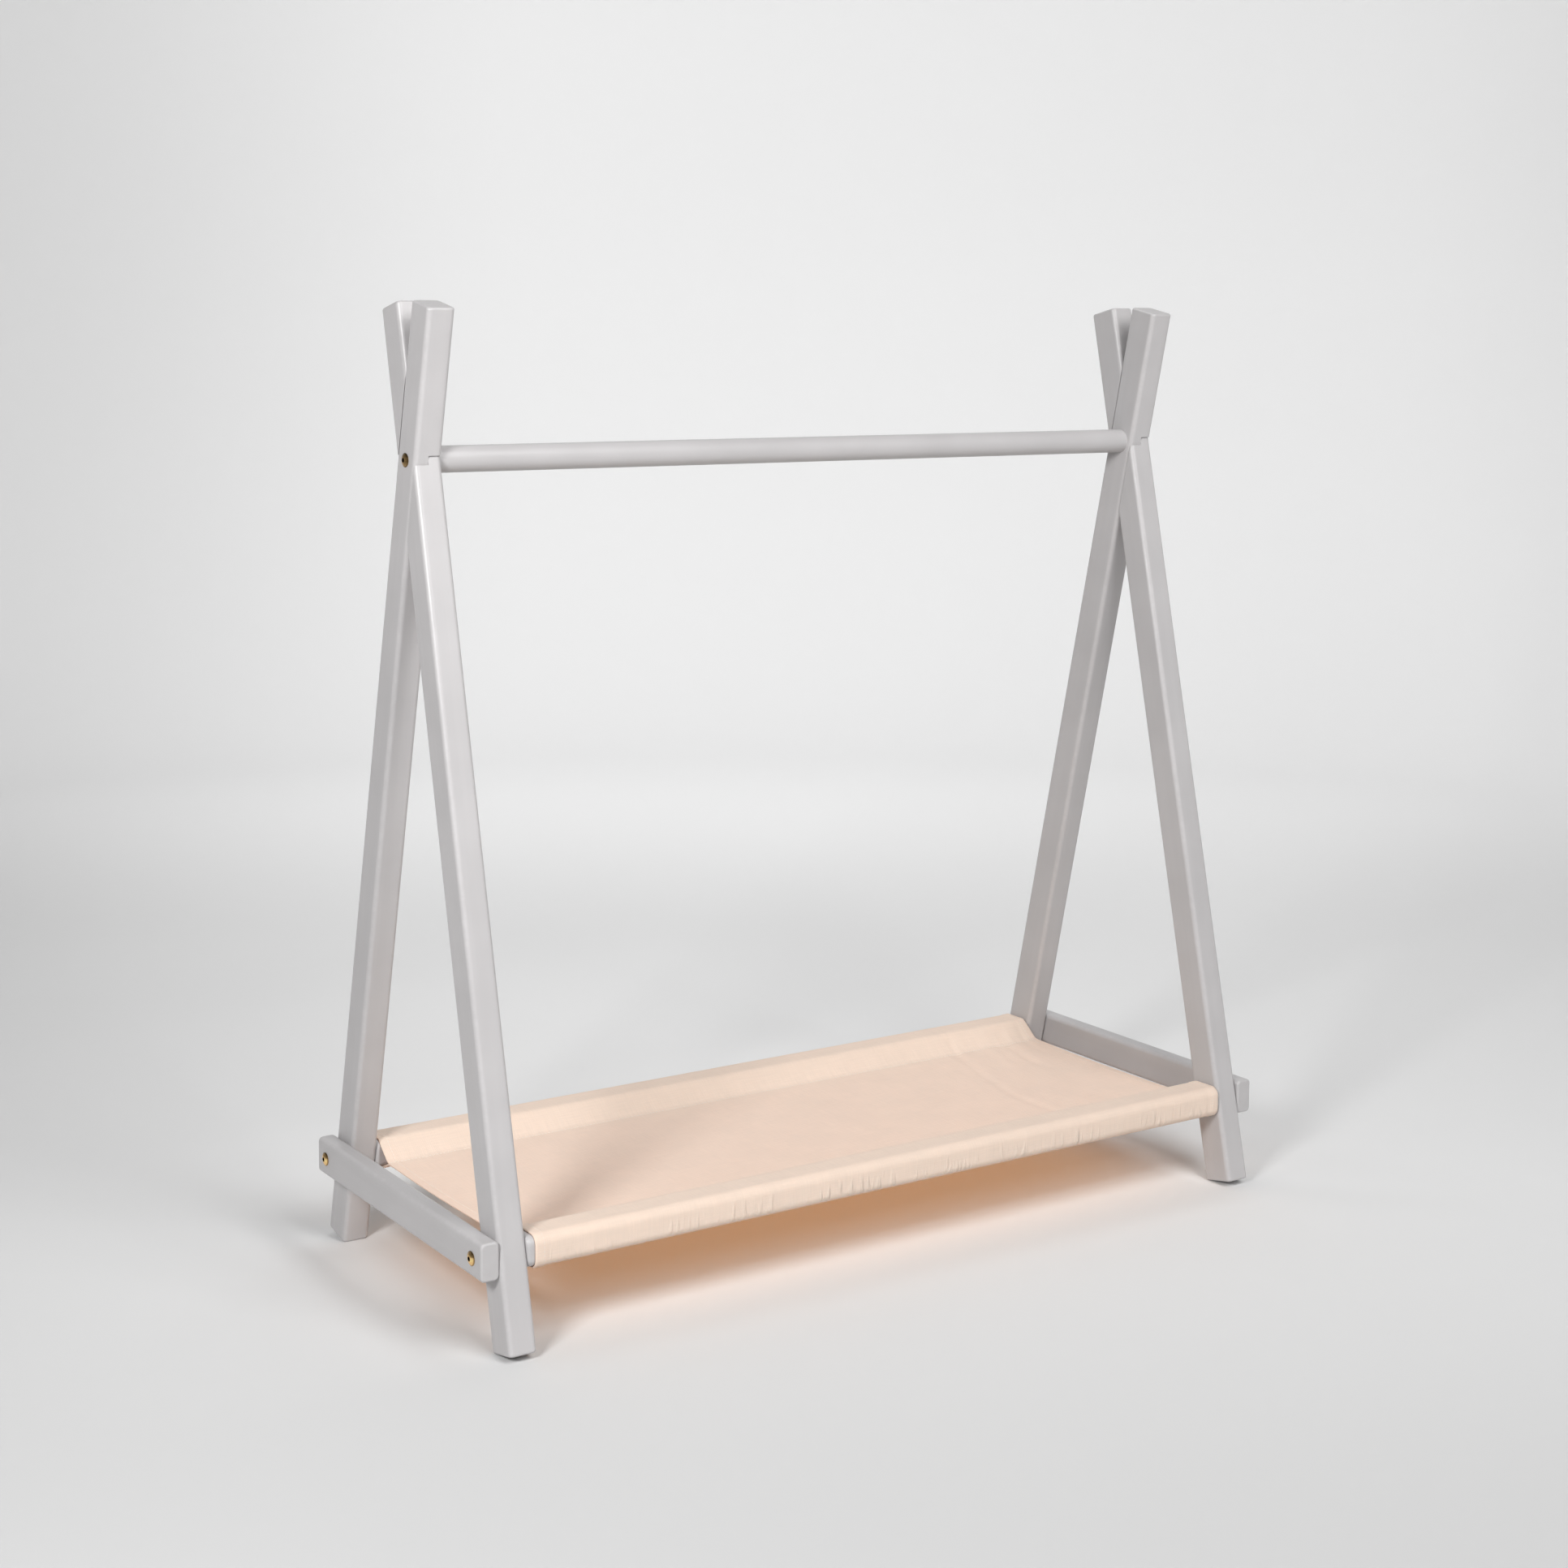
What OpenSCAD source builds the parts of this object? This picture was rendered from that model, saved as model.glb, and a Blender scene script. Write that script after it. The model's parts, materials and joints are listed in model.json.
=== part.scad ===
// Child's A-frame clothes rack: two crossed-leg end frames, a round hanging rail between
// their crossings, and a canvas sling shelf carried by two rectangular rails near the floor.
// Origin: floor level, in the middle of the footprint. +X runs along the hanging rail,
// -Y is the front, +Z is up. All lengths are in millimetres.

/* [End frames] */
// Clear distance between the two end frames
frame_gap = 900; // [700:10:1100]
// Leg thickness, along the hanging rail
leg_thickness = 30; // [26:1:36]
// Leg width, across the leg in the plane of the end frame
leg_width = 38; // [34:1:46]
// Leg length, end to end
leg_length = 1015; // [900:5:1150]
// Lean of each leg from upright, in degrees
leg_tilt = 12.5; // [10:0.5:15]
// Distance along the leg from its top end to the crossing
crossing_from_top = 155; // [140:5:220]
// Radius of the long edges of legs and cross bars
arris_radius = 5; // [3:0.5:6]
// Radius of the edges around their cut ends
end_radius = 2.5; // [1.5:0.5:4]

/* [Half-lap joint] */
// Play left between a notch and the leg that lies in it
lap_play = 0.4; // [0.2:0.1:0.8]
// Height above and below the crossing at which a notch's thin tip is squared off
lap_blunt = 4.5; // [3:0.5:7]

/* [Cross bars] */
// Cross bar thickness, along the hanging rail
bar_thickness = 20; // [16:1:26]
// Cross bar height
bar_height = 38; // [30:1:46]
// Height of the cross bars' and sling rails' centres above the floor
bar_centre_height = 96.5; // [80:0.5:140]

/* [Rails] */
// Hanging rail diameter
rail_diameter = 27; // [24:1:32]
// Sling rail height
sling_rail_height = 30; // [26:1:36]
// Sling rail depth, front to back
sling_rail_depth = 38; // [30:1:44]
// Radius of the sling rails' long edges
sling_rail_radius = 8; // [4:0.5:12]
// Radius of the edges around the sling rails' cut ends
sling_rail_end_radius = 4; // [1.5:0.5:6]

/* [Canvas sling] */
// Thickness of one layer of canvas
canvas = 1.2; // [0.8:0.1:2]
// Air between the canvas and the rail inside it
canvas_slack = 0.2; // [0.1:0.1:0.5]
// Bare sling rail left at the left end
sling_gap_left = 8; // [2:1:20]
// Bare sling rail left at the right end
sling_gap_right = 1; // [1:1:20]
// Distance from the sling rail's inner face to the seam that closes its channel
seam_inset = 18; // [12:1:40]
// Height of the shelf floor's upper surface above the ground
shelf_height = 93.6; // [88:0.2:100]

/* [Fasteners] */
// Bolt shank diameter
bolt_diameter = 6; // [5:1:8]
// Bolt head diameter
head_diameter = 14; // [12:0.5:16]
// Bolt head height at its middle
head_height = 3; // [2.4:0.2:4]
// Straight height of the bolt head's rim
head_rim = 0.8; // [0.4:0.1:1.2]
// Hexagon socket size across its flats
socket_flats = 4; // [3:0.5:5]
// Depth of the hexagon socket
socket_depth = 2; // [1:0.2:2.2]
// Length of bolt that screws into the rail's end
bolt_grip = 14; // [10:1:16]
// Outer diameter of the threaded insert in each rail's end
insert_diameter = 9; // [8:0.5:10]
// Length of the threaded insert
insert_length = 13; // [10:1:16]

/* [Hidden] */
$fn = 64;

paint = [0.76, 0.74, 0.72];
cloth = [0.92, 0.80, 0.70];
brass = [0.72, 0.53, 0.28];
zinc = [0.70, 0.70, 0.68];

LEFT = -1;
RIGHT = 1;
FRONT = -1;
REAR = 1;
OVERCUT = 1;
ARC_STEPS = 6;

// The rounded lower inner edge of each leg is what touches the floor.
crossing_from_foot = leg_length - crossing_from_top;
crossing_height = (leg_width / 2 - end_radius) * sin(leg_tilt)
    + (crossing_from_foot - end_radius) * cos(leg_tilt) + end_radius;
frame_middle = (frame_gap + leg_thickness) / 2;
frame_outside = frame_gap / 2 + leg_thickness;
// Distance from the middle plane to each leg's centre line at the cross bars' height
leg_spread = (crossing_height - bar_centre_height) * tan(leg_tilt);
bar_length = 2 * leg_spread + leg_width / cos(leg_tilt);

bolt_hole = bolt_diameter + 0.4;
insert_bore = bolt_diameter + 0.2;
insert_play = 0.1;
insert_hole_depth = bolt_grip + 4;

rail_inner_y = leg_spread - sling_rail_depth / 2;
seam_y = rail_inner_y - seam_inset;
sling_left = -frame_gap / 2 + sling_gap_left;
sling_right = frame_gap / 2 - sling_gap_right;

// A rectangle with round corners, centred
module rounded_rectangle(width, height, radius) {
    square([width - 2 * radius, height], center = true);
    square([width, height - 2 * radius], center = true);
    for (x = [-1, 1], y = [-1, 1])
        translate([x * (width / 2 - radius), y * (height / 2 - radius)])
            circle(radius);
}

// A quarter of a round post along Z, in the +X +Y quarter, with the ends' edges rounded
module corner_post(length, radius, end) {
    rotate_extrude(angle = 90)
        intersection() {
            translate([0, -length])
                square([2 * radius, 2 * length]);
            rounded_rectangle(2 * radius, length, end);
        }
}

// A bar along Z: its long edges have one radius and the edges around its ends another
module rounded_bar(x_size, y_size, length, radius, end) {
    corner_x = x_size / 2 - radius;
    corner_y = y_size / 2 - radius;
    rotate([90, 0, 0])
        linear_extrude(2 * corner_y, center = true)
            rounded_rectangle(x_size, length, end);
    rotate([90, 0, 90])
        linear_extrude(2 * corner_x, center = true)
            rounded_rectangle(y_size, length, end);
    for (flip_x = [0, 1], flip_y = [0, 1])
        mirror([flip_x, 0, 0])
            mirror([0, flip_y, 0])
                translate([corner_x, corner_y, 0])
                    corner_post(length, radius, end);
}

module x_hole(diameter, length) {
    rotate([0, 90, 0])
        cylinder(d = diameter, h = length, center = true);
}

// What the crossing leg takes out of a leg: the right half of a rear-footed leg and the
// left half of a front-footed one. The notch follows the crossing leg's upper round edges,
// is square along its lower ones, and a level cut blunts the thin tips.
module lap_notch(foot) {
    intersection() {
        translate([foot * leg_thickness / 2, 0, 0])
            cube([leg_thickness, 8 * leg_width, 8 * leg_width], center = true);
        union() {
            rotate([-foot * 2 * leg_tilt, 0, 0]) {
                linear_extrude(8 * leg_width, center = true)
                    rounded_rectangle(leg_thickness + 2 * lap_play, leg_width + 2 * lap_play,
                        arris_radius + lap_play);
                translate([0, foot * (leg_width / 2 + lap_play) / 2, 0])
                    cube([2 * leg_thickness, leg_width / 2 + lap_play, 8 * leg_width], center = true);
            }
            rotate([-foot * leg_tilt, 0, 0])
                cube([2 * leg_thickness, 2 * leg_width, 2 * lap_blunt], center = true);
        }
    }
}

// One leg. foot is FRONT or REAR, the side its foot stands on. The rear-footed leg keeps
// its left half through the crossing, and the front-footed leg keeps its right half.
module leg(side, foot) {
    color(paint)
        translate([side * frame_middle, 0, crossing_height])
            rotate([foot * leg_tilt, 0, 0])
                difference() {
                    translate([0, 0, crossing_from_top - leg_length / 2])
                        rounded_bar(leg_thickness, leg_width, leg_length, arris_radius, end_radius);
                    lap_notch(foot);
                    x_hole(bolt_hole, 2 * leg_thickness);
                    rotate([-foot * leg_tilt, 0, 0])
                        translate([0, foot * leg_spread, bar_centre_height - crossing_height])
                            x_hole(bolt_hole, 2 * leg_thickness);
                }
}

module cross_bar(side) {
    color(paint)
        translate([side * (frame_outside + bar_thickness / 2), 0, bar_centre_height])
            difference() {
                rotate([90, 0, 0])
                    rounded_bar(bar_thickness, bar_height, bar_length, arris_radius, end_radius);
                for (y = [-leg_spread, leg_spread])
                    translate([0, y, 0])
                        x_hole(bolt_hole, 2 * bar_thickness);
            }
}

// The blind holes that hold the threaded inserts, one in each end of a rail
module insert_holes() {
    for (side = [LEFT, RIGHT])
        translate([side * frame_gap / 2, 0, 0])
            x_hole(insert_diameter, 2 * insert_hole_depth);
}

module hanging_rail() {
    color(paint)
        translate([0, 0, crossing_height])
            difference() {
                x_hole(rail_diameter, frame_gap);
                insert_holes();
            }
}

module sling_rail(face) {
    color(paint)
        translate([0, face * leg_spread, bar_centre_height])
            difference() {
                rotate([90, 0, 90])
                    rounded_bar(sling_rail_depth, sling_rail_height, frame_gap, sling_rail_radius,
                        sling_rail_end_radius);
                insert_holes();
            }
}

// Points along an arc, from one angle to another
function arc(centre, radius, from, to) =
    [for (i = [0:ARC_STEPS])
        let (angle = from + (to - from) * i / ARC_STEPS)
            centre + radius * [cos(angle), sin(angle)]];

// The angle on a circle at which the straight line to a point leaves it. turn is 1 or -1
// and chooses one of the two such lines.
function leaving_angle(point, centre, radius, turn) =
    let (to_point = point - centre)
        atan2(to_point[1], to_point[0]) + turn * acos(radius / norm(to_point));

// Section of a sling rail's channel, drawn with the rail's centre at [0, 0] and the seam
// towards +X: the rail's outline grown by a margin, which narrows to the seam in a wedge
module channel_section(margin, seam_reach, seam_top, seam_bottom) {
    x = sling_rail_depth / 2 - sling_rail_radius;
    y = sling_rail_height / 2 - sling_rail_radius;
    radius = sling_rail_radius + margin;
    top_seam = [seam_reach, seam_top];
    bottom_seam = [seam_reach, seam_bottom];
    polygon(concat(
        [top_seam],
        arc([x, y], radius, leaving_angle(top_seam, [x, y], radius, 1), 90),
        arc([-x, y], radius, 90, 180),
        arc([-x, -y], radius, 180, 270),
        arc([x, -y], radius, 270, 360 + leaving_angle(bottom_seam, [x, -y], radius, -1)),
        [bottom_seam]
    ));
}

// Both channels of the sling as solid bars, each grown by a margin past the rail in it
module channels(margin, seam_reach, seam_top, seam_bottom, length) {
    for (flip = [0, 1])
        mirror([0, flip, 0])
            translate([(sling_left + sling_right) / 2, -leg_spread, bar_centre_height])
                rotate([90, 0, 90])
                    linear_extrude(length, center = true)
                        channel_section(margin, seam_reach, seam_top, seam_bottom);
}

// The sling: a channel of canvas around each rail and the shelf floor between their seams
module sling() {
    length = sling_right - sling_left;
    floor_top = shelf_height - bar_centre_height;
    floor_middle = floor_top - canvas / 2;
    seam_reach = sling_rail_depth / 2 + seam_inset;
    color(cloth)
        difference() {
            union() {
                channels(canvas_slack + canvas, seam_reach, floor_top, floor_top - canvas, length);
                translate([sling_left, -seam_y - canvas, shelf_height - canvas])
                    cube([length, 2 * (seam_y + canvas), canvas]);
            }
            channels(canvas_slack, seam_reach - 2 * canvas, floor_middle + canvas / 4,
                floor_middle - canvas / 4, length + OVERCUT);
        }
}

// A button-head bolt along Z: the underside of its head is at z = 0 and its shank runs down
module bolt(shank_length) {
    head_radius = head_diameter / 2;
    dome_rise = head_height - head_rim;
    dome_radius = (head_radius * head_radius + dome_rise * dome_rise) / (2 * dome_rise);
    socket_diameter = socket_flats / cos(30);
    difference() {
        union() {
            rotate_extrude()
                intersection() {
                    square([head_radius, head_height]);
                    translate([0, head_height - dome_radius])
                        circle(dome_radius, $fn = 256);
                }
            translate([0, 0, -shank_length])
                cylinder(d = bolt_diameter, h = shank_length + head_rim);
        }
        translate([0, 0, head_height - socket_depth])
            cylinder(d = socket_diameter, h = head_height, $fn = 6);
    }
}

// The bolt through a crossing into the hanging rail
module rail_bolt(side) {
    color(brass)
        translate([side * frame_outside, 0, crossing_height])
            rotate([0, side * 90, 0])
                bolt(leg_thickness + bolt_grip);
}

// A bolt through a cross bar and a leg into a sling rail
module corner_bolt(side, face) {
    color(brass)
        translate([side * (frame_outside + bar_thickness), face * leg_spread, bar_centre_height])
            rotate([0, side * 90, 0])
                bolt(bar_thickness + leg_thickness + bolt_grip);
}

// A threaded insert, flush with the end of the rail that it sits in
module insert(side, y, z) {
    color(zinc)
        translate([side * (frame_gap - insert_length) / 2, y, z])
            difference() {
                x_hole(insert_diameter - insert_play, insert_length);
                x_hole(insert_bore, insert_length + OVERCUT);
            }
}

leg(LEFT, FRONT);  // left_front_leg
leg(LEFT, REAR);  // left_rear_leg
leg(RIGHT, FRONT);  // right_front_leg
leg(RIGHT, REAR);  // right_rear_leg
cross_bar(LEFT);  // left_cross_bar
cross_bar(RIGHT);  // right_cross_bar
hanging_rail();
sling_rail(FRONT);  // front_sling_rail
sling_rail(REAR);  // rear_sling_rail
sling();
rail_bolt(LEFT);  // left_rail_bolt
rail_bolt(RIGHT);  // right_rail_bolt
corner_bolt(LEFT, FRONT);  // left_front_bolt
corner_bolt(LEFT, REAR);  // left_rear_bolt
corner_bolt(RIGHT, FRONT);  // right_front_bolt
corner_bolt(RIGHT, REAR);  // right_rear_bolt
insert(LEFT, 0, crossing_height);  // left_rail_insert
insert(RIGHT, 0, crossing_height);  // right_rail_insert
insert(LEFT, -leg_spread, bar_centre_height);  // left_front_insert
insert(LEFT, leg_spread, bar_centre_height);  // left_rear_insert
insert(RIGHT, -leg_spread, bar_centre_height);  // right_front_insert
insert(RIGHT, leg_spread, bar_centre_height);  // right_rear_insert
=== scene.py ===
import json
import math

import bmesh
import bpy
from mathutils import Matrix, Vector, noise


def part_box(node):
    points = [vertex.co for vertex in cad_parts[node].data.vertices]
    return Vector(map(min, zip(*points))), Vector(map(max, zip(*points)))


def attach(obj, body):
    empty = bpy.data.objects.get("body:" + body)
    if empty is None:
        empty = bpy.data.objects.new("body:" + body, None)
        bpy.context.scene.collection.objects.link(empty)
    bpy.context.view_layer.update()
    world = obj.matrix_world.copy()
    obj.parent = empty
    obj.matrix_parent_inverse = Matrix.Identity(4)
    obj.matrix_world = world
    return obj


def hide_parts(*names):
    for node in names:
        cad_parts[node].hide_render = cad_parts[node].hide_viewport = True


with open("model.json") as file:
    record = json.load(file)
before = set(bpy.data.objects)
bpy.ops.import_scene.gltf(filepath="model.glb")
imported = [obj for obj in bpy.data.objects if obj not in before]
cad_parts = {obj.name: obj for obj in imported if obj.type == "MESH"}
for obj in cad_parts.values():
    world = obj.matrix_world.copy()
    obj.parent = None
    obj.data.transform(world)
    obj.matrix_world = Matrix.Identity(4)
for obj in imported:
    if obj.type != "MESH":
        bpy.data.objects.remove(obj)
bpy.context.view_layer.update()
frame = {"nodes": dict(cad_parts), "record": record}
nodes = frame["nodes"]
scene = bpy.context.scene
scene.view_settings.view_transform = "Standard"

MM = 0.001

# ---------------------------------------------------------------- camera

CAMERA_PLACE = (-1.5326, -2.1438, 0.9547)
# Degrees that the camera is turned clockwise from +Y, and tilted down
CAMERA_HEADING = 31.434
CAMERA_TILT = 5.78
# Sensor and lens in millimetres, and the lens's shift as shares of the frame's width
SENSOR = 36
LENS = 55.9342
SHIFT_X = 0.097723
SHIFT_Y = -0.122464

camera_data = bpy.data.cameras.new("camera")
camera_data.sensor_width = SENSOR
camera_data.lens = LENS
camera_data.shift_x = SHIFT_X
camera_data.shift_y = SHIFT_Y
camera = bpy.data.objects.new("camera", camera_data)
camera.location = CAMERA_PLACE
camera.rotation_euler = (math.radians(90 - CAMERA_TILT), 0, math.radians(-CAMERA_HEADING))
scene.collection.objects.link(camera)
scene.camera = camera


# ---------------------------------------------------------------- helpers

class Shader:
    """A material under construction, with short names for the nodes it uses."""

    def __init__(self, name):
        self.material = bpy.data.materials.new(name)
        self.material.use_nodes = True
        self.tree = self.material.node_tree
        self.tree.nodes.clear()
        self.output = self.tree.nodes.new("ShaderNodeOutputMaterial")
        self.bsdf = self.tree.nodes.new("ShaderNodeBsdfPrincipled")
        self.tree.links.new(self.bsdf.outputs[0], self.output.inputs["Surface"])

    def node(self, kind, inputs=None, **settings):
        made = self.tree.nodes.new("ShaderNode" + kind)
        for key, value in settings.items():
            setattr(made, key, value)
        for key, value in (inputs or {}).items():
            self.feed(made.inputs[key], value)
        return made

    def feed(self, socket, value):
        if isinstance(value, bpy.types.NodeSocket):
            self.tree.links.new(value, socket)
        else:
            socket.default_value = value

    def math(self, operation, a, b=0.0):
        return self.node("Math", {0: a, 1: b}, operation=operation).outputs[0]

    def object_coordinates(self, centre=(0, 0, 0), rotation=(0, 0, 0)):
        """Object coordinates measured from a centre, then turned by rotation."""
        where = self.node("TexCoord").outputs["Object"]
        moved = self.node("VectorMath", {0: where, 1: centre}, operation="SUBTRACT")
        return self.node("Mapping", {"Vector": moved.outputs[0], "Rotation": rotation}).outputs[0]

    def scaled(self, vector, scale):
        return self.node("Mapping", {"Vector": vector, "Scale": scale}).outputs[0]

    def noise(self, vector, scale, detail=2.0, roughness=0.5):
        return self.node("TexNoise", {
            "Vector": vector, "Scale": scale, "Detail": detail, "Roughness": roughness,
        }).outputs["Fac"]

    def spread(self, value, low, high, out_low, out_high):
        """Goes smoothly from out_low, where the value is low, to out_high, where it is high."""
        return self.node("MapRange", {
            "Value": value,
            "From Min": low,
            "From Max": high,
            "To Min": out_low,
            "To Max": out_high,
        }, interpolation_type="SMOOTHSTEP").outputs[0]

    def tint(self, colour, value):
        """A colour made lighter or darker by a value around 1."""
        shade = self.node("CombineColor", {0: value, 1: value, 2: value}).outputs[0]
        made = self.node("Mix", data_type="RGBA", blend_type="MULTIPLY")
        factor, first, second = (made.inputs[k] for k in (0, 6, 7))
        factor.default_value = 1.0
        first.default_value = (*colour, 1)
        self.feed(second, shade)
        return made.outputs[2]

    def bump(self, height, distance, normal=None):
        """A normal bumped by a height of 0 to 1 times a distance, on top of another normal."""
        made = self.node("Bump", {"Height": height, "Distance": distance, "Strength": 1.0})
        if normal is not None:
            self.feed(made.inputs["Normal"], normal)
        return made.outputs[0]

    def set(self, **inputs):
        """Feeds the surface's inputs, named in lower case with underscores."""
        for key, value in inputs.items():
            self.feed(self.bsdf.inputs[key.replace("_", " ").title()], value)


def mesh_object(name, mesh, material):
    """Turns a bmesh into an object in the scene."""
    data = bpy.data.meshes.new(name)
    mesh.to_mesh(data)
    mesh.free()
    data.materials.append(material)
    made = bpy.data.objects.new(name, data)
    scene.collection.objects.link(made)
    return made


# ---------------------------------------------------------------- materials

PAINT = (0.478, 0.464, 0.466)
CANVAS = (0.94, 0.82, 0.70)
# Colour of the light that comes through the canvas, and its share in the canvas's look
CANVAS_THROUGH = (1.0, 0.54, 0.21)
THROUGH_SHARE = 0.26
SEWING_THREAD = (0.92, 0.78, 0.66)
BRASS = (1.0, 0.66, 0.29)
ZINC = (0.66, 0.67, 0.66)
# Width of one thread of the canvas
THREAD = 0.8 * MM


def painted_wood(name, centre, lean, half, along):
    """Satin paint over planed wood. The bar's long axis is along x, y or z once its lean
    about X is taken out; half is half its section across the other two axes, or None if
    it is round."""
    shader = Shader(name)
    frame_vector = shader.object_coordinates(centre, (-lean, 0, 0))
    stretch = {"x": (0.04, 1, 1), "y": (1, 0.04, 1), "z": (1, 1, 0.04)}[along]
    grain = shader.noise(shader.scaled(frame_vector, stretch), 420, 3, 0.6)
    streak = shader.noise(shader.scaled(frame_vector, stretch), 90, 2, 0.5)
    mottle = shader.noise(frame_vector, 14, 2, 0.5)
    stipple = shader.noise(frame_vector, 1400, 1, 0.5)

    shade = shader.math("ADD", shader.spread(mottle, 0.3, 0.7, 0.975, 1.02),
                        shader.spread(streak, 0.3, 0.7, -0.012, 0.012))
    rough = shader.math("ADD", shader.spread(mottle, 0.3, 0.7, 0.36, 0.44),
                        shader.spread(grain, 0.35, 0.65, -0.03, 0.03))
    if half:
        split = shader.node("SeparateXYZ", {0: frame_vector})
        across = [axis for axis in "xyz" if axis != along]
        near = [shader.spread(shader.math("ABSOLUTE", split.outputs["xyz".index(axis)]),
                              size - 6 * MM, size - 1 * MM, 0, 1)
                for axis, size in zip(across, half)]
        arris = shader.math("MULTIPLY", near[0], near[1])
        patchy = shader.noise(frame_vector, 120, 3, 0.65)
        # Painted highlight: the arrises are drawn a little lighter, in patches
        arris_painted_highlight = shader.math("MULTIPLY", arris, shader.spread(patchy, 0.42, 0.7, 0, 1))
        shade = shader.math("ADD", shade, shader.math("MULTIPLY", arris_painted_highlight, 0.05))
        rough = shader.math("SUBTRACT", rough, shader.math("MULTIPLY", arris, 0.05))
    normal = shader.bump(grain, 0.04 * MM)
    normal = shader.bump(stipple, 0.012 * MM, normal)
    shader.set(base_color=shader.tint(PAINT, shade), roughness=rough, normal=normal)
    shader.bsdf.inputs["Specular IOR Level"].default_value = 0.5
    return shader.material


def canvas(faces):
    """Plain-weave cotton canvas. The UV map holds metres along and across the cloth, and
    faces lists where each rail's outer face starts and ends across it, lower edge first."""
    shader = Shader("canvas")
    cloth = shader.node("UVMap", uv_map="cloth").outputs[0]
    split = shader.node("SeparateXYZ", {0: cloth})
    warp = shader.math("SINE", shader.math("MULTIPLY", split.outputs[0], math.pi / THREAD))
    weft = shader.math("SINE", shader.math("MULTIPLY", split.outputs[1], math.pi / THREAD))
    weave = shader.math("MULTIPLY", warp, weft)
    slub_along = shader.noise(shader.scaled(cloth, (30, 900, 1)), 1, 2, 0.6)
    slub_across = shader.noise(shader.scaled(cloth, (900, 30, 1)), 1, 2, 0.6)
    slubs = shader.math("ADD", slub_along, slub_across)
    mottle = shader.noise(cloth, 22, 3, 0.55)

    def lower_part(low, high):
        """1 on the lower part of a face, and 0 at its lower edge and near its upper one."""
        height = high - low
        rise = shader.spread(split.outputs[1], low, low + 0.30 * height, 0, 1)
        fall = shader.spread(split.outputs[1], low + 0.35 * height, low + 0.78 * height, 1, 0)
        return shader.math("MULTIPLY", rise, fall)

    # Short upright puckers on the lower part of each face, fewer towards the left end. Each is bumped,
    # and darkened with painted shade
    lower = shader.math("ADD", lower_part(*faces[0]), lower_part(*faces[1]))
    upright = shader.noise(shader.scaled(cloth, (1, 0.16, 1)), 150, 1.5, 0.45)
    cluster = shader.noise(shader.scaled(cloth, (1, 0.3, 1)), 21, 1, 0.5)
    pucker = shader.math("MULTIPLY", shader.spread(upright, 0.50, 0.70, 0, 1),
                         shader.spread(cluster, 0.36, 0.58, 0.15, 1))
    pucker = shader.math("MULTIPLY", pucker, lower)
    pucker = shader.math("MULTIPLY", pucker, shader.spread(split.outputs[0], -0.42, -0.05, 0.35, 1))

    shade = shader.math("ADD", shader.spread(slubs, 0.75, 1.25, 0.975, 1.02),
                        shader.spread(mottle, 0.3, 0.7, -0.012, 0.012))
    shade = shader.math("ADD", shade, shader.math("MULTIPLY", weave, 0.012))
    # Painted shade in the puckers: the cloth is drawn darker along them
    shade = shader.math("SUBTRACT", shade, shader.math("MULTIPLY", pucker, 0.035))
    normal = shader.bump(pucker, 1.2 * MM)
    normal = shader.bump(weave, 0.08 * MM, normal)
    normal = shader.bump(slubs, 0.06 * MM, normal)
    shader.set(base_color=shader.tint(CANVAS, shade), normal=normal,
               roughness=shader.spread(slubs, 0.75, 1.25, 0.92, 0.84))
    shader.bsdf.inputs["Sheen Weight"].default_value = 0.12
    shader.bsdf.inputs["Sheen Roughness"].default_value = 0.5
    shader.bsdf.inputs["Specular IOR Level"].default_value = 0.2
    through = shader.node("BsdfTranslucent", {
        "Color": shader.tint(CANVAS_THROUGH, shade),
        "Normal": normal,
    })
    mixed = shader.node("MixShader", {
        0: THROUGH_SHARE,
        1: shader.bsdf.outputs[0],
        2: through.outputs[0],
    })
    shader.tree.links.new(mixed.outputs[0], shader.output.inputs["Surface"])
    return shader.material


def sewing_thread():
    """Cotton thread in the canvas's colour, roughened by its twist."""
    shader = Shader("sewing_thread")
    twist = shader.noise(shader.object_coordinates(), 1800, 1, 0.5)
    shader.set(base_color=shader.tint(SEWING_THREAD, shader.spread(twist, 0.3, 0.7, 0.9, 1.04)),
               roughness=shader.spread(twist, 0.3, 0.7, 0.5, 0.65),
               normal=shader.bump(twist, 0.05 * MM))
    return shader.material


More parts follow.
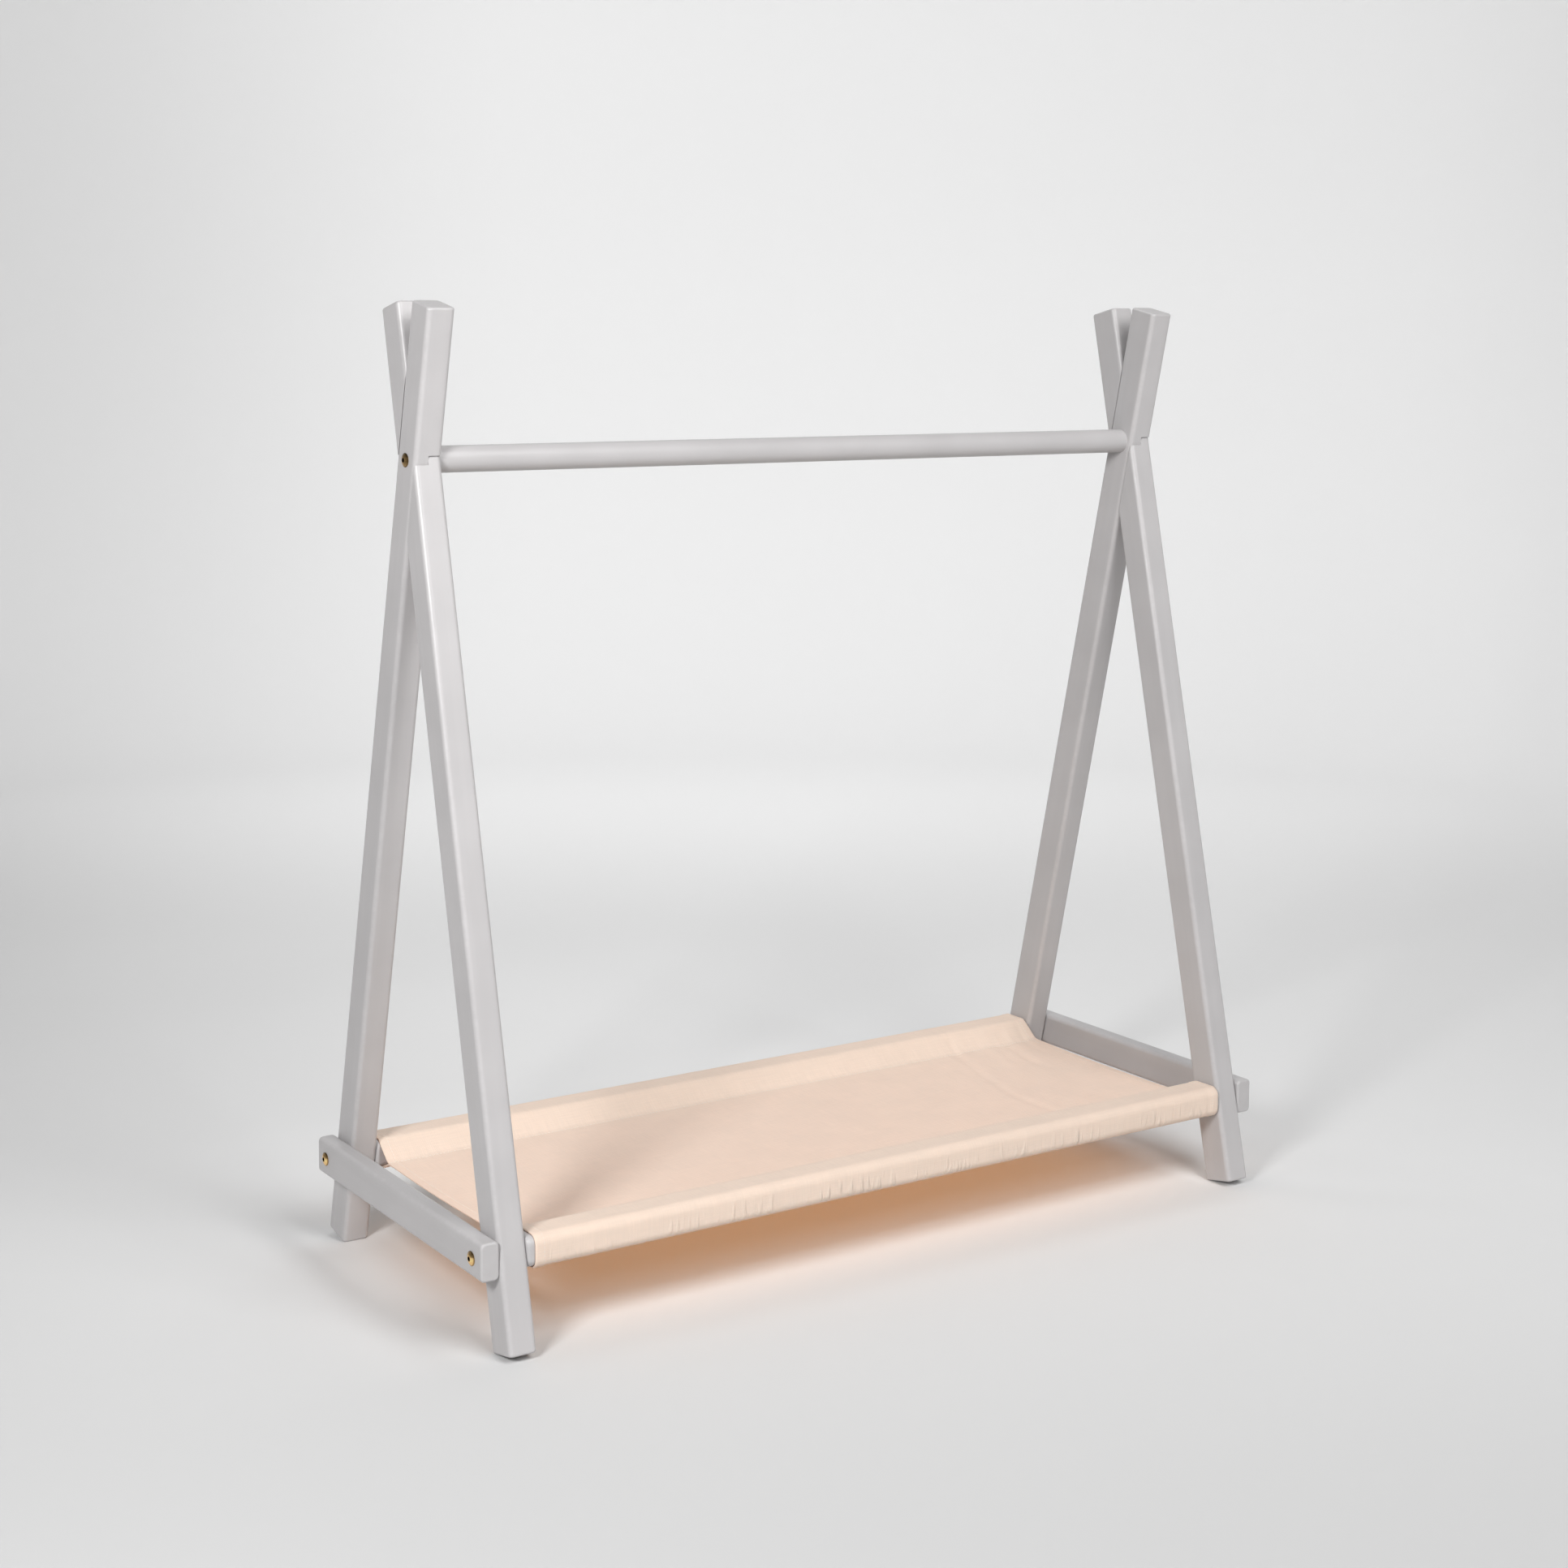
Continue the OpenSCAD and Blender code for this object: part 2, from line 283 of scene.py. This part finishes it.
def brass(name, centre, painted_light_level):
    """Turned brass, so its fine marks run in rings about the bolt's axis. The hexagon socket is drawn
    dark as painted shade, and the rim and upper edge as painted dark reflections.
    The last argument is a level of painted shade over the whole bolt: a low one draws it darker."""
    shader = Shader(name)
    where = shader.object_coordinates(centre)
    split = shader.node("SeparateXYZ", {0: where})
    squares = [shader.math("POWER", split.outputs[axis], 2.0) for axis in (1, 2)]
    ring = shader.math("SQRT", shader.math("ADD", *squares))
    turning = shader.noise(shader.node("CombineXYZ", {0: ring}).outputs[0], 5200, 2, 0.6)
    tarnish = shader.noise(where, 260, 3, 0.6)
    shade = shader.spread(tarnish, 0.3, 0.7, 0.9 * painted_light_level, 1.2 * painted_light_level)
    # Painted shade in the hexagon socket, and painted dark reflections at the rim and along the upper
    # edge
    socket = shader.spread(ring, 2.1 * MM, 2.8 * MM, 0.06, 1)
    rim_painted_reflection = shader.spread(ring, 5.6 * MM, 6.9 * MM, 1, 0.45)
    upper_edge_painted_reflection = shader.spread(split.outputs[2], 1 * MM, 5 * MM, 1, 0.45)
    for painted_darkening in (socket, rim_painted_reflection, upper_edge_painted_reflection):
        shade = shader.math("MULTIPLY", shade, painted_darkening)
    shader.set(base_color=shader.tint(BRASS, shade),
               roughness=shader.math("ADD", shader.spread(tarnish, 0.3, 0.7, 0.14, 0.24),
                                     shader.spread(turning, 0.3, 0.7, -0.04, 0.04)),
               normal=shader.bump(turning, 0.01 * MM))
    shader.bsdf.inputs["Metallic"].default_value = 1.0
    return shader.material


def zinc():
    """Zinc plating with a fine spangle."""
    shader = Shader("zinc")
    where = shader.object_coordinates()
    spangle = shader.node("TexVoronoi", {"Vector": where, "Scale": 700}).outputs["Distance"]
    shader.set(base_color=shader.tint(ZINC, shader.spread(spangle, 0.0, 0.8, 0.9, 1.05)),
               roughness=shader.spread(spangle, 0.0, 0.8, 0.28, 0.42),
               normal=shader.bump(spangle, 0.01 * MM))
    shader.bsdf.inputs["Metallic"].default_value = 1.0
    return shader.material


def middle(node):
    low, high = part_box(node)
    return (low + high) / 2


def wear(node, material):
    """Gives a CAD node its material, in each of its slots."""
    for material_slot in nodes[node].material_slots:
        material_slot.material = material


# How far the legs lean from upright, and half of each bar's section
LEG_LEAN = math.radians(12.5)
LEG_HALF = (15 * MM, 19 * MM)
BAR_HALF = (10 * MM, 19 * MM)
RAIL_HALF = (19 * MM, 15 * MM)
# The bolts at the crossings get painted shade: their brass is drawn darker all over than the others'
RAIL_BOLT_PAINTED_LIGHT_LEVEL = 0.55
OTHER_BOLT_PAINTED_LIGHT_LEVEL = 1.0

for side in ("left", "right"):
    for face, foot in (("front", -1), ("rear", 1)):
        name = f"{side}_{face}_leg"
        wear(name, painted_wood(f"paint_{name}", middle(name), foot * LEG_LEAN, LEG_HALF, "z"))
    name = f"{side}_cross_bar"
    wear(name, painted_wood(f"paint_{name}", middle(name), 0, BAR_HALF, "y"))
for face in ("front", "rear"):
    name = f"{face}_sling_rail"
    wear(name, painted_wood(f"paint_{name}", middle(name), 0, RAIL_HALF, "x"))
wear("hanging_rail", painted_wood("paint_hanging_rail", middle("hanging_rail"), 0, None, "x"))
zinc_material = zinc()
for name in nodes:
    if name.endswith("_bolt"):
        painted_light_level = RAIL_BOLT_PAINTED_LIGHT_LEVEL if "rail" in name else OTHER_BOLT_PAINTED_LIGHT_LEVEL
        wear(name, brass(f"brass_{name}", middle(name), painted_light_level))
    elif name.endswith("_insert"):
        wear(name, zinc_material)


# ---------------------------------------------------------------- sling

# Thickness of the cloth, and its slack round the rails
CLOTH = 1.2 * MM
SLACK = 0.2 * MM
# Distance of each channel's seam from the rail's inner face
SEAM_INSET = 18 * MM
# Radius of the rails' long edges, and of the edges around their ends
ARRIS = 8 * MM
RAIL_END = 4 * MM
# Width of the hems at both ends, and of the cloth past each seam
HEM = 12 * MM
ALLOWANCE = 10 * MM
# How far the middle of the shelf hangs down, and how far the left end is off square
SAG = 3.2 * MM
SKEW = 3.5 * MM

rail_low, rail_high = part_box("front_sling_rail")
sling_low, sling_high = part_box("sling")
shelf_height = next(m for m in frame["record"]["mounts"] if m["name"] == "shelf")["pos_m"][2]
rail_y = (rail_low.y + rail_high.y) / 2
rail_z = (rail_low.z + rail_high.z) / 2
half_depth = (rail_high.y - rail_low.y) / 2
half_height = (rail_high.z - rail_low.z) / 2
seam_y = abs(rail_high.y) - SEAM_INSET
floor_z = shelf_height - CLOTH / 2


def arc_points(centre, radius, start, end, steps):
    return [centre + radius * Vector((math.cos(a), math.sin(a)))
            for a in (start + (end - start) * i / steps for i in range(steps + 1))]


def line_points(start, end, steps):
    return [start + (end - start) * i / steps for i in range(1, steps)]


def leaving_angle(point, centre, radius, turn):
    """The angle at which a straight line from a point touches a circle."""
    to_point = point - centre
    return math.atan2(to_point.y, to_point.x) + turn * math.acos(radius / to_point.length)


def half_section():
    """(point, part) along the middle of the cloth from its hidden edge under the front
    seam, round the front rail and over the floor to the middle of the shelf."""
    radius = ARRIS + SLACK + CLOTH / 2
    u, v = half_depth - ARRIS, half_height - ARRIS
    centres = [Vector((rail_y + across * u, rail_z + up * v))
               for across, up in ((1, -1), (-1, -1), (-1, 1), (1, 1))]
    seam = Vector((-seam_y, floor_z))
    under = seam - Vector((0, CLOTH * 1.08))
    low = leaving_angle(under, centres[0], radius, -1)
    high = leaving_angle(seam, centres[3], radius, 1)
    arcs = [
        arc_points(centres[0], radius, low, -math.pi / 2, 5),
        arc_points(centres[1], radius, -math.pi / 2, -math.pi, 9),
        arc_points(centres[2], radius, math.pi, math.pi / 2, 9),
        arc_points(centres[3], radius, math.pi / 2, high, 5),
    ]
    tail = under + Vector((ALLOWANCE, -0.1 * MM))
    found = [(p, "tail") for p in [tail] + line_points(tail, under, 4)]
    found += [(p, "under") for p in [under] + line_points(under, arcs[0][0], 6)]
    found += [(p, "under") for p in arcs[0] + line_points(arcs[0][-1], arcs[1][0], 8)]
    found += [(p, "face") for p in arcs[1] + line_points(arcs[1][-1], arcs[2][0], 11) + arcs[2]]
    found += [(p, "top") for p in line_points(arcs[2][-1], arcs[3][0], 9) + arcs[3]]
    slope = line_points(arcs[3][-1], seam, 11)
    found += [(p, "slope") for p in slope[:-1]]
    bend_start, bend_end = slope[-2], seam + Vector((4 * MM, 0))
    for share in (i / 6 for i in range(1, 6)):
        rest = 1 - share
        found.append((bend_start * rest ** 2 + seam * 2 * share * rest + bend_end * share ** 2, "slope"))
    found += [(p, "floor") for p in [bend_end] + line_points(bend_end, Vector((0, floor_z)), 30)]
    return found


def bell(x, width):
    """1 at 0, falling to nothing on both sides."""
    return math.exp(-0.5 * (x / width) ** 2)


def ease(x, low, high):
    """0 below low and 1 above high, with a smooth rise between them."""
    share = min(1, max(0, (x - low) / (high - low)))
    return share * share * (3 - 2 * share)


section = half_section()
# (point, part, side) along the whole cloth, from the front seam's edge to the rear one's
section = ([(p, part, -1) for p, part in section]
           + [(Vector((0, floor_z)), "floor", 0)]
           + [(Vector((-p.x, p.y)), part, 1) for p, part in reversed(section)])
arc_length = [0.0]
for (before, _, _), (after, _, _) in zip(section, section[1:]):
    arc_length.append(arc_length[-1] + (after - before).length)
normals = []
for i in range(len(section)):
    before = section[max(i - 1, 0)][0]
    after = section[min(i + 1, len(section) - 1)][0]
    along = (after - before).normalized()
    normals.append(Vector((-along.y, along.x)))

# Creases across the shelf: points (x, y) along each, its width and its depth
CREASES = [
    ([(0.326, 0.150), (0.320, 0.118), (0.300, 0.050), (0.288, 0.0), (0.280, -0.035), (0.279, -0.100)],
     5 * MM, -1.5 * MM),
    ([(0.408, 0.160), (0.402, 0.134), (0.392, 0.085), (0.386, 0.050)], 5 * MM, -1.3 * MM),
    ([(0.437, 0.162), (0.432, 0.135), (0.424, 0.100)], 3.5 * MM, -1.1 * MM),
    ([(0.378, 0.150), (0.372, 0.120), (0.355, 0.070)], 6 * MM, 1.0 * MM),
]


def crease_height(x, y):
    """How far the creases lift or lower the shelf at a place. Each has a ridge beside it."""
    total = 0.0
    for points, width, depth in CREASES:
        ys = [p[1] for p in points]
        top, bottom = max(ys), min(ys)
        fade = ease(y, bottom - 0.03, bottom + 0.02) * (1 - ease(y, top - 0.005, top + 0.02))
        if fade <= 0:
            continue
        place = points[0][0] if y >= top else points[-1][0]
        for (xa, ya), (xb, yb) in zip(points, points[1:]):
            if yb <= y <= ya:
                place = xb + (xa - xb) * (y - yb) / (ya - yb)
        ridge = 0.35 * bell(x - place - 1.6 * width, 1.5 * width)
        total += fade * depth * (bell(x - place, width) - ridge)
    return total


def end_inset(x):
    """How far the rail's rounded right end falls back under the cloth at x."""
    depth = RAIL_END - (rail_high.x - x)
    return RAIL_END - math.sqrt(RAIL_END ** 2 - depth ** 2) if depth > 0 else 0.0


def skewed(x, y):
    """The left end is cut a little on the skew: it reaches further out at the rear."""
    return x - SKEW * ease(y, -0.18, 0.18) * (1 - ease(x, sling_low.x, sling_low.x + 0.15))


def cloth_offset(point, part, side, x):
    """How far the cloth stands off its plain section, along its normal. It follows the rail
    closely where it wraps it, and hangs, ripples and creases over the shelf."""
    y, z = point
    wave = noise.noise(Vector((x * 9, y * 9, side * 3.1)))
    fine = noise.noise(Vector((x * 34, y * 30, z * 30 + side)))
    if part == "face":
        ripple = noise.noise(Vector((x * 70, z * 25, side * 5.3)))
        return 0.25 * MM + 0.12 * MM * wave + 0.12 * MM * ripple - end_inset(x)
    if part in ("top", "under"):
        return max(0, 0.15 * MM + 0.2 * MM * fine) - end_inset(x)
    if part == "tail":
        return 0.0
    from_ends = (ease(x, sling_low.x, sling_low.x + 0.03)
                 * (1 - ease(x, sling_high.x - 0.03, sling_high.x)))
    reach = max(0, 1 - (y / seam_y) ** 2)
    hang = -SAG * reach * (0.65 + 0.35 * from_ends)
    ripple = 0.35 * MM * wave * (0.3 + reach) + 0.12 * MM * fine
    seam_pull = 0.14 * MM * bell(abs(y) - seam_y, 9 * MM) * math.sin(
        x * 520 + 3 * noise.noise(Vector((x * 25, side, 0))))
    near_slope = 1.0 if part == "floor" else 0.6
    return near_slope * (hang + ripple + crease_height(x, y)) + seam_pull


# The mesh's columns along the rails, close together at both ends, where the edges are round
COLUMNS = 330
EDGE_STEPS = [0, 0.4 * MM, 1.2 * MM, 2.4 * MM]
sling_length = sling_high.x - sling_low.x
even_length = sling_length - 2 * EDGE_STEPS[-1]
column_x = ([sling_low.x + step for step in EDGE_STEPS]
            + [sling_low.x + EDGE_STEPS[-1] + even_length * i / COLUMNS for i in range(1, COLUMNS)]
            + [sling_high.x - step for step in reversed(EDGE_STEPS)])


def cloth_sides(part, edge):
    """How far the cloth's outer and inner surfaces lie from its middle, at a distance edge
    from an end. The hem is folded under the shelf, and outwards where it wraps a rail."""
    hem = 1 - ease(edge, HEM - 1.0 * MM, HEM + 0.6 * MM)
    wrapped = part in ("face", "top", "under")
    outer = CLOTH / 2 + hem * (0.55 if wrapped else 0.15) * MM
    inner = CLOTH / 2 + hem * (0.0 if wrapped or part == "tail" else 0.9) * MM
    return outer, inner


def build_sling():
    """The canvas as one closed sheet with an outer and an inner side and rounded ends."""
    mesh = bmesh.new()
    uv = mesh.loops.layers.uv.new("cloth")
    outer_rows, inner_rows, place = [], [], {}
    for (point, part, side), normal, run in zip(section, normals, arc_length):
        outer_row, inner_row = [], []
        for x in column_x:
            edge = min(x - sling_low.x, sling_high.x - x)
            round_off = math.sqrt(max(0.0, 1 - (1 - min(edge, CLOTH) / CLOTH) ** 2))
            outer, inner = ((distance - 0.05 * MM) * round_off + 0.05 * MM
                            for distance in cloth_sides(part, edge))
            middle_point = point + normal * cloth_offset(point, part, side, x)
            for row, distance in ((outer_row, outer), (inner_row, -inner)):
                at = middle_point + normal * distance
                vertex = mesh.verts.new((skewed(x, at.x), at.x, at.y))
                place[vertex] = (x, run)
                row.append(vertex)
        outer_rows.append(outer_row)
        inner_rows.append(inner_row)

    def face(*corners):
        made = mesh.faces.new(corners)
        made.smooth = True
        for loop in made.loops:
            loop[uv].uv = place[loop.vert]

    for i in range(len(section) - 1):
        outer, next_outer = outer_rows[i:i + 2]
        inner, next_inner = inner_rows[i:i + 2]
        for j in range(len(column_x) - 1):
            face(outer[j], outer[j + 1], next_outer[j + 1], next_outer[j])
            face(inner[j], next_inner[j], next_inner[j + 1], inner[j + 1])
        face(outer[0], next_outer[0], next_inner[0], inner[0])
        face(outer[-1], inner[-1], next_inner[-1], next_outer[-1])
    for j in range(len(column_x) - 1):
        face(outer_rows[0][j], inner_rows[0][j], inner_rows[0][j + 1], outer_rows[0][j + 1])
        face(outer_rows[-1][j], outer_rows[-1][j + 1], inner_rows[-1][j + 1], inner_rows[-1][j])
    mesh.normal_update()
    front_face, rear_face = (
        [run for (_, part, at_side), run in zip(section, arc_length) if (part, at_side) == ("face", side)]
        for side in (-1, 1))
    faces = [(front_face[0], front_face[-1]), (rear_face[-1], rear_face[0])]
    return mesh_object("sling_canvas", mesh, canvas(faces))


sling = build_sling()


def surface_point(index, x):
    """A point on the cloth's outer surface, and the surface's normal."""
    point, part, side = section[index]
    outer, _ = cloth_sides(part, min(x - sling_low.x, sling_high.x - x))
    at = point + normals[index] * (cloth_offset(point, part, side, x) + outer)
    return Vector((skewed(x, at.x), at.x, at.y)), Vector((0, normals[index].x, normals[index].y))


STITCH = 3.2 * MM
STITCH_GAP = 0.9 * MM
# Half of the thread's width, and half of its thickness
THREAD_HALF = (0.34 * MM, 0.24 * MM)
THREAD_SIDES = 6
# Along a stitch: share of its length, share of its thickness, and height over the cloth
STITCH_RINGS = [
    (0.0, 0.35, -0.32 * MM),
    (0.12, 0.8, -0.06 * MM),
    (0.5, 1.0, 0.06 * MM),
    (0.88, 0.8, -0.06 * MM),
    (1.0, 0.35, -0.32 * MM),
]


def add_stitch(mesh, start, end, up):
    """One stitch: a short thread that dips into the cloth at both ends."""
    along = end - start
    across = along.cross(up).normalized()
    rings = []
    for share, size, lift in STITCH_RINGS:
        centre = start + along * share + up * lift
        rings.append([
            mesh.verts.new(centre + size * (across * math.cos(angle) * THREAD_HALF[0]
                                            + up * math.sin(angle) * THREAD_HALF[1]))
            for angle in (math.tau * i / THREAD_SIDES for i in range(THREAD_SIDES))])
    for near, far in zip(rings, rings[1:]):
        for i in range(THREAD_SIDES):
            j = (i + 1) % THREAD_SIDES
            made = mesh.faces.new((near[i], far[i], far[j], near[j]))
            made.smooth = True
    mesh.faces.new(rings[0])
    mesh.faces.new(tuple(reversed(rings[-1])))


thread_material = sewing_thread()


def stitches_object(name, mesh):
    bmesh.ops.recalc_face_normals(mesh, faces=mesh.faces)
    return mesh_object(name, mesh, thread_material)


def seam_stitches(name, side):
    """The row of stitches that closes a channel, on top of the shelf and under it."""
    mesh = bmesh.new()
    target = side * (seam_y - 2.5 * MM)
    index = min((i for i in range(len(section)) if section[i][1] in ("slope", "floor")),
                key=lambda i: abs(section[i][0].x - target))
    tail_rows = [i for i in range(len(section)) if section[i][1:] == ("tail", side)]
    tail = min(tail_rows, key=lambda i: abs(section[i][0].x - target))
    x = sling_low.x + 1.5 * MM
    while x + STITCH < sling_high.x - 1.5 * MM:
        for row in (index, tail):
            start, up = surface_point(row, x)
            end, _ = surface_point(row, x + STITCH)
            add_stitch(mesh, start, end, up)
        x += STITCH + STITCH_GAP
    return stitches_object(name, mesh)


def hem_stitches(name, x):
    """The row of stitches across the cloth that holds one end's hem."""
    mesh = bmesh.new()
    total = arc_length[-1]

    def at_run(run):
        """The point and normal at a distance along the section."""
        before = max(i for i in range(len(arc_length) - 1) if arc_length[i] <= run)
        share = (run - arc_length[before]) / (arc_length[before + 1] - arc_length[before])
        start, start_up = surface_point(before, x)
        end, end_up = surface_point(before + 1, x)
        return start.lerp(end, share), start_up.lerp(end_up, share).normalized()

    run = ALLOWANCE + 4 * MM
    while run + STITCH < total - ALLOWANCE - 4 * MM:
        start, up_start = at_run(run)
        end, up_end = at_run(run + STITCH)
        add_stitch(mesh, start, end, (up_start + up_end).normalized())
        run += STITCH + STITCH_GAP
    return stitches_object(name, mesh)


stitching = [
    seam_stitches("front_seam_stitches", -1),
    seam_stitches("rear_seam_stitches", 1),
    hem_stitches("left_hem_stitches", sling_low.x + HEM - 2.5 * MM),
    hem_stitches("right_hem_stitches", sling_high.x - HEM + 2.5 * MM),
]

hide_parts("sling")
for piece in [sling] + stitching:
    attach(piece, "root")


# ---------------------------------------------------------------- stage and lights

FLOOR = (0.745, 0.745, 0.745)
# Radius of the flat floor, radius of the curve up from it, and the wall's height
SWEEP_RADIUS = 3.0
SWEEP_CURVE = 1.1
SWEEP_HEIGHT = 4.6
SWEEP_SIDES = 96
# The sweep's painted light and shade change along and across this heading, clockwise from +Y
SWEEP_HEADING = math.radians(31.434)
# Middle of the painted pool of light on the floor behind the object
PAINTED_LIGHT_PATCH = (0.25, 0.62, 0)


def stage_material():
    """Matt white sweep with painted light and shade that vary slowly: lighter behind the object
    and on the wall, darker close to the camera and towards the sides."""
    shader = Shader("stage")
    where = shader.object_coordinates()

    def along(direction):
        product = shader.node("VectorMath", {0: where, 1: direction}, operation="DOT_PRODUCT")
        return product.outputs["Value"]

    behind = along((math.sin(SWEEP_HEADING), math.cos(SWEEP_HEADING), 0))
    across = along((math.cos(SWEEP_HEADING), -math.sin(SWEEP_HEADING), 0))
    height = along((0, 0, 1))
    distance_to_painted_light = shader.node("VectorMath", {0: where, 1: PAINTED_LIGHT_PATCH}, operation="DISTANCE").outputs["Value"]
    # Painted light and shade: the sweep's colour is scaled up and down across it
    painted_light_level = shader.spread(behind, 1.2, 2.6, 1.0, 1.26)
    for change in (
            shader.spread(behind, -0.95, 0.1, 0.755, 0.995),
            shader.spread(height, 0.1, 1.6, 1.0, 0.92),
            shader.spread(across, -1.9, -0.4, 0.83, 1.0),
            shader.spread(across, 1.7, 2.8, 1.0, 0.90),
            shader.spread(distance_to_painted_light, 0.1, 0.75, 1.06, 1.0)):
        painted_light_level = shader.math("MULTIPLY", painted_light_level, change)
    shader.set(base_color=shader.tint(FLOOR, painted_light_level),
               roughness=shader.spread(shader.noise(where, 30), 0.3, 0.7, 0.85, 0.95))
    shader.bsdf.inputs["Specular IOR Level"].default_value = 0.1
    return shader.material


def build_stage():
    """A round floor that sweeps up into a wall."""
    profile = [(radius, 0.0) for radius in (0.6, 1.2, 1.8, 2.4, SWEEP_RADIUS)]
    profile += [(SWEEP_RADIUS + SWEEP_CURVE * math.sin(angle), SWEEP_CURVE * (1 - math.cos(angle)))
                for angle in (math.pi / 2 * i / 16 for i in range(1, 17))]
    profile += [(SWEEP_RADIUS + SWEEP_CURVE, SWEEP_HEIGHT)]
    turns = [math.tau * i / SWEEP_SIDES for i in range(SWEEP_SIDES)]
    mesh = bmesh.new()
    centre = mesh.verts.new((0, 0, 0))
    rings = [[mesh.verts.new((radius * math.cos(turn), radius * math.sin(turn), z)) for turn in turns]
             for radius, z in profile]
    for i in range(SWEEP_SIDES):
        mesh.faces.new((centre, rings[0][i], rings[0][(i + 1) % SWEEP_SIDES]))
    for near, far in zip(rings, rings[1:]):
        for i in range(SWEEP_SIDES):
            j = (i + 1) % SWEEP_SIDES
            mesh.faces.new((near[i], far[i], far[j], near[j]))
    for made in mesh.faces:
        made.smooth = True
    mesh_object("stage", mesh, stage_material())


build_stage()


def area_light(name, place, target, size, power, colour=(1, 1, 1)):
    """A soft rectangular light, which the camera doesn't see."""
    data = bpy.data.lights.new(name, "AREA")
    data.shape = "RECTANGLE"
    data.size, data.size_y = size
    data.energy = power
    data.color = colour
    made = bpy.data.objects.new(name, data)
    made.location = place
    made.rotation_euler = (Vector(target) - Vector(place)).to_track_quat("-Z", "Y").to_euler()
    made.visible_camera = False
    scene.collection.objects.link(made)


world = bpy.data.worlds.new("world")
world.use_nodes = True
world.node_tree.nodes["Background"].inputs["Color"].default_value = (1, 1, 1, 1)
world.node_tree.nodes["Background"].inputs["Strength"].default_value = 0.02
scene.world = world

area_light("key", place=(-2.02, -1.13, 1.43), target=(0, 0, 0.3), size=(0.55, 0.55), power=39)
area_light("front", place=(0.1, -2.9, 2.35), target=(0, 0, 0.4), size=(1.6, 1.2), power=40)
area_light("front_high", place=(0.2, -2.0, 2.8), target=(0, 0, 0.5), size=(1.6, 1.2), power=38)
area_light("backdrop", place=(0.4, 0.9, 2.9), target=(1.9, 3.2, 1.2), size=(2.0, 0.6), power=48)
area_light("floor_behind", place=(0.6, 1.5, 2.6), target=(1.0, 1.6, 0), size=(2.4, 1.0), power=6)
# More of the light that comes through the canvas on to the floor
area_light("under_sling", place=(0, 0, 0.078), target=(0, 0, 0), size=(0.86, 0.28), power=0.225,
           colour=(1.0, 0.49, 0.16))
